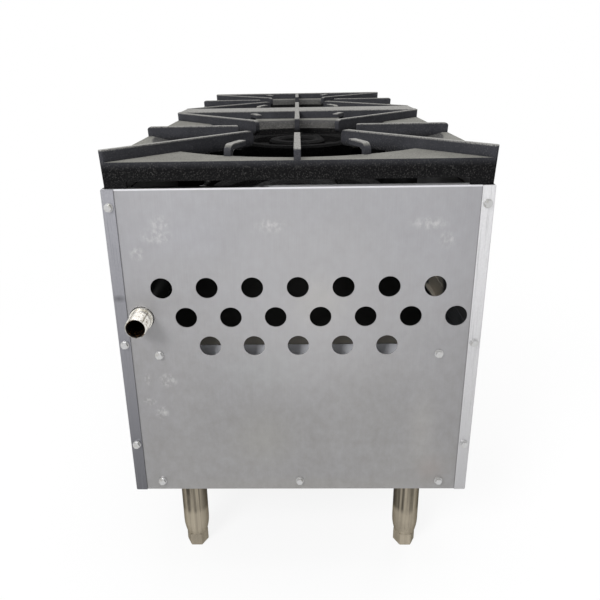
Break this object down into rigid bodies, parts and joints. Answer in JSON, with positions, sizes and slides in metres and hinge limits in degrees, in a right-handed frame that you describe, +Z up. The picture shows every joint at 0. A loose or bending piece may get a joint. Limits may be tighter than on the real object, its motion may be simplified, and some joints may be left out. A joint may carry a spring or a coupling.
{
  "type": "stock pot range",
  "caption": "Floor-standing gas stock pot range with cast grates in line over ring burners, front knobs, a pull-out drip tray, a vented rear panel and levelling legs.",
  "frame": {"origin": "on the floor, under the middle of the whole object from knobs to gas inlet", "axes": "+Z up; the user stands at -Y; +Y points to the rear, where the gas comes in; +X is to the user's right"},
  "size_m": [0.4572, 1.1408, 0.623],
  "materials": {
    "casing_steel": "brushed, worn, with faint vertical grain",
    "front_steel": "brushed",
    "galvanized_steel": "dull zinc coating",
    "tray_steel": "dull, greasy inside",
    "pull_steel": "polished",
    "grate_iron": "rough, seasoned, worn bright on the ribs' tops",
    "burner_iron": "rough",
    "shutter_steel": "dull",
    "black_pipe": "satin black",
    "zinc_pipe": "yellowish zinc",
    "coupling_steel": "bright zinc",
    "valve_brass": "machined",
    "stem_steel": "turned",
    "knob_plastic": "matte black",
    "tube_aluminium": "drawn",
    "leg_steel": "satin stainless",
    "foot_steel": "satin stainless",
    "bolt_zinc": "zinc",
    "screw_zinc": "zinc"
  },
  "bodies": {
    "casing": {"rear_panel": "casing_steel", "left_side_panel": "casing_steel", "right_side_panel": "casing_steel", "control_panel": "front_steel", "lower_front_panel": "front_steel", "base_pan": "galvanized_steel", "left_tray_runner": "galvanized_steel", "right_tray_runner": "galvanized_steel", "orifice_rail": "galvanized_steel", "rear_burner_back_rail": "galvanized_steel", "rear_burner_front_rail": "galvanized_steel", "front_burner_back_rail": "galvanized_steel", "front_burner_front_rail": "galvanized_steel", "manifold_brackets": "galvanized_steel", "rear_burner": "burner_iron", "front_burner": "burner_iron", "supply_pipe": "black_pipe", "supply_elbow": "black_pipe", "manifold_pipe": "black_pipe", "manifold_plug": "black_pipe", "inlet_nipple": "zinc_pipe", "inlet_coupling": "coupling_steel", "rear_outer_valve": "valve_brass", "front_outer_valve": "valve_brass", "front_inner_valve": "valve_brass", "rear_inner_valve": "valve_brass", "pilot_valves": "valve_brass", "front_orifices": "valve_brass", "rear_orifices": "valve_brass", "rear_outer_feed_tube": "tube_aluminium", "rear_inner_feed_tube": "tube_aluminium", "rear_pilot": "tube_aluminium", "front_pilot": "tube_aluminium", "rear_left_leg": "leg_steel", "rear_right_leg": "leg_steel", "front_left_leg": "leg_steel", "front_right_leg": "leg_steel", "leg_bolts": "bolt_zinc", "panel_screws": "screw_zinc"},
    "rear_grate": {"rear_grate": "grate_iron"},
    "front_grate": {"front_grate": "grate_iron"},
    "center_bar": {"center_bar": "grate_iron"},
    "tray": {"drip_tray": "tray_steel", "tray_pull": "pull_steel"},
    "rear_outer_knob": {"rear_outer_knob": "knob_plastic", "rear_outer_stem": "stem_steel"},
    "front_outer_knob": {"front_outer_knob": "knob_plastic", "front_outer_stem": "stem_steel"},
    "front_inner_knob": {"front_inner_knob": "knob_plastic", "front_inner_stem": "stem_steel"},
    "rear_inner_knob": {"rear_inner_knob": "knob_plastic", "rear_inner_stem": "stem_steel"},
    "rear_outer_shutter": {"rear_outer_shutter": "shutter_steel"},
    "front_outer_shutter": {"front_outer_shutter": "shutter_steel"},
    "front_inner_shutter": {"front_inner_shutter": "shutter_steel"},
    "rear_inner_shutter": {"rear_inner_shutter": "shutter_steel"},
    "rear_left_foot": {"rear_left_foot": "foot_steel"},
    "rear_right_foot": {"rear_right_foot": "foot_steel"},
    "front_left_foot": {"front_left_foot": "foot_steel"},
    "front_right_foot": {"front_right_foot": "foot_steel"}
  },
  "joints": [
    {"name": "rear_grate_lift", "type": "slide", "parent": "casing", "child": "rear_grate", "axis": [0, 0, 1], "range_m": [0, 0.12]},
    {"name": "front_grate_lift", "type": "slide", "parent": "casing", "child": "front_grate", "axis": [0, 0, 1], "range_m": [0, 0.12]},
    {"name": "center_bar_lift", "type": "slide", "parent": "casing", "child": "center_bar", "axis": [0, 0, 1], "range_m": [0, 0.12]},
    {"name": "tray_slide", "type": "slide", "parent": "casing", "child": "tray", "axis": [0, -1, 0], "range_m": [0, 0.6]},
    {"name": "rear_outer_knob_turn", "type": "hinge", "parent": "casing", "child": "rear_outer_knob", "pos_m": [0.152, -0.5346, 0.512], "axis": [0, -1, 0], "range_deg": [0, 90]},
    {"name": "front_outer_knob_turn", "type": "hinge", "parent": "casing", "child": "front_outer_knob", "pos_m": [0.052, -0.5346, 0.512], "axis": [0, -1, 0], "range_deg": [0, 90]},
    {"name": "front_inner_knob_turn", "type": "hinge", "parent": "casing", "child": "front_inner_knob", "pos_m": [-0.052, -0.5346, 0.512], "axis": [0, -1, 0], "range_deg": [0, 90]},
    {"name": "rear_inner_knob_turn", "type": "hinge", "parent": "casing", "child": "rear_inner_knob", "pos_m": [-0.152, -0.5346, 0.512], "axis": [0, -1, 0], "range_deg": [0, 90]},
    {"name": "rear_outer_shutter_turn", "type": "hinge", "parent": "casing", "child": "rear_outer_shutter", "pos_m": [0.052, 0.1329, 0.512], "axis": [0, 1, 0], "range_deg": [0, 60]},
    {"name": "front_outer_shutter_turn", "type": "hinge", "parent": "casing", "child": "front_outer_shutter", "pos_m": [0.052, -0.4381, 0.512], "axis": [0, 1, 0], "range_deg": [0, 60]},
    {"name": "front_inner_shutter_turn", "type": "hinge", "parent": "casing", "child": "front_inner_shutter", "pos_m": [-0.052, -0.4381, 0.512], "axis": [0, 1, 0], "range_deg": [0, 60]},
    {"name": "rear_inner_shutter_turn", "type": "hinge", "parent": "casing", "child": "rear_inner_shutter", "pos_m": [-0.052, 0.1329, 0.512], "axis": [0, 1, 0], "range_deg": [0, 60]},
    {"name": "rear_left_foot_level", "type": "slide", "parent": "casing", "child": "rear_left_foot", "axis": [0, 0, -1], "range_m": [0, 0.025]},
    {"name": "rear_right_foot_level", "type": "slide", "parent": "casing", "child": "rear_right_foot", "axis": [0, 0, -1], "range_m": [0, 0.025]},
    {"name": "front_left_foot_level", "type": "slide", "parent": "casing", "child": "front_left_foot", "axis": [0, 0, -1], "range_m": [0, 0.025]},
    {"name": "front_right_foot_level", "type": "slide", "parent": "casing", "child": "front_right_foot", "axis": [0, 0, -1], "range_m": [0, 0.025]}
  ]
}
